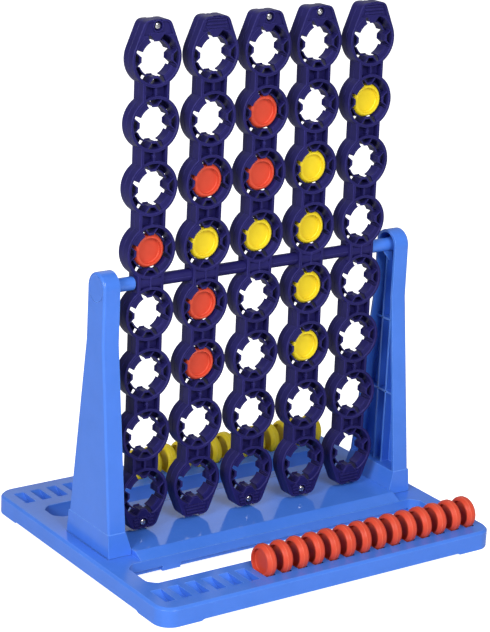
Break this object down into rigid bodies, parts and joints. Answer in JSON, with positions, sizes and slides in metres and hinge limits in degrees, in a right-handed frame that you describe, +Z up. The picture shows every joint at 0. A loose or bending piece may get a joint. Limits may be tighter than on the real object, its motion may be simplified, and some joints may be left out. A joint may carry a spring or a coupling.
{
  "type": "spinning four in a row game",
  "caption": "Table-top game: spinning ladder-like columns of round holes on one axle between two posts, on a base whose two trays hold coloured discs on edge.",
  "frame": {"origin": "on the table, under the middle of the base", "axes": "+X along the axle to the players' right, +Y away from the near player, +Z up"},
  "size_m": [0.309, 0.2524, 0.4158],
  "materials": {
    "blue_plastic": "light blue moulded plastic, satin gloss, polished on the deck",
    "navy_plastic": "dark indigo moulded plastic, satin",
    "red_plastic": "orange-red moulded plastic, satin",
    "yellow_plastic": "yellow moulded plastic, satin",
    "screw_steel": "bright plated steel"
  },
  "bodies": {
    "stand": {"axle": "navy_plastic", "base": "blue_plastic", "left_post": "blue_plastic", "red_disc_tray_slot_10": "red_plastic", "red_disc_tray_slot_11": "red_plastic", "red_disc_tray_slot_12": "red_plastic", "red_disc_tray_slot_13": "red_plastic", "red_disc_tray_slot_14": "red_plastic", "red_disc_tray_slot_15": "red_plastic", "red_disc_tray_slot_16": "red_plastic", "red_disc_tray_slot_17": "red_plastic", "red_disc_tray_slot_18": "red_plastic", "red_disc_tray_slot_19": "red_plastic", "red_disc_tray_slot_20": "red_plastic", "red_disc_tray_slot_7": "red_plastic", "red_disc_tray_slot_8": "red_plastic", "red_disc_tray_slot_9": "red_plastic", "right_post": "blue_plastic", "yellow_disc_tray_slot_10": "yellow_plastic", "yellow_disc_tray_slot_11": "yellow_plastic", "yellow_disc_tray_slot_12": "yellow_plastic", "yellow_disc_tray_slot_13": "yellow_plastic", "yellow_disc_tray_slot_14": "yellow_plastic", "yellow_disc_tray_slot_15": "yellow_plastic", "yellow_disc_tray_slot_16": "yellow_plastic", "yellow_disc_tray_slot_8": "yellow_plastic", "yellow_disc_tray_slot_9": "yellow_plastic"},
    "column_1": {"column_1_lower_screw": "screw_steel", "column_1_screw_shell": "navy_plastic", "column_1_thread_shell": "navy_plastic", "column_1_upper_screw": "screw_steel", "red_disc_column_1_row_4": "red_plastic"},
    "column_2": {"column_2_lower_screw": "screw_steel", "column_2_screw_shell": "navy_plastic", "column_2_thread_shell": "navy_plastic", "column_2_upper_screw": "screw_steel", "red_disc_column_2_row_3": "red_plastic", "red_disc_column_2_row_5": "red_plastic", "red_disc_column_2_row_6": "red_plastic", "yellow_disc_column_2_row_4": "yellow_plastic"},
    "column_3": {"column_3_lower_screw": "screw_steel", "column_3_screw_shell": "navy_plastic", "column_3_thread_shell": "navy_plastic", "column_3_upper_screw": "screw_steel", "red_disc_column_3_row_2": "red_plastic", "red_disc_column_3_row_3": "red_plastic", "yellow_disc_column_3_row_4": "yellow_plastic"},
    "column_4": {"column_4_lower_screw": "screw_steel", "column_4_screw_shell": "navy_plastic", "column_4_thread_shell": "navy_plastic", "column_4_upper_screw": "screw_steel", "yellow_disc_column_4_row_3": "yellow_plastic", "yellow_disc_column_4_row_4": "yellow_plastic", "yellow_disc_column_4_row_5": "yellow_plastic", "yellow_disc_column_4_row_6": "yellow_plastic"},
    "column_5": {"column_5_lower_screw": "screw_steel", "column_5_screw_shell": "navy_plastic", "column_5_thread_shell": "navy_plastic", "column_5_upper_screw": "screw_steel", "yellow_disc_column_5_row_2": "yellow_plastic"}
  },
  "joints": [
    {"name": "column_1_spin", "type": "hinge", "parent": "stand", "child": "column_1", "pos_m": [-0.0979, 0, 0.2193], "axis": [1, 0, 0], "continuous": true},
    {"name": "column_2_spin", "type": "hinge", "parent": "stand", "child": "column_2", "pos_m": [-0.04895, 0, 0.2193], "axis": [1, 0, 0], "continuous": true},
    {"name": "column_3_spin", "type": "hinge", "parent": "stand", "child": "column_3", "pos_m": [0, 0, 0.2193], "axis": [1, 0, 0], "continuous": true},
    {"name": "column_4_spin", "type": "hinge", "parent": "stand", "child": "column_4", "pos_m": [0.04895, 0, 0.2193], "axis": [1, 0, 0], "continuous": true},
    {"name": "column_5_spin", "type": "hinge", "parent": "stand", "child": "column_5", "pos_m": [0.0979, 0, 0.2193], "axis": [1, 0, 0], "continuous": true}
  ]
}
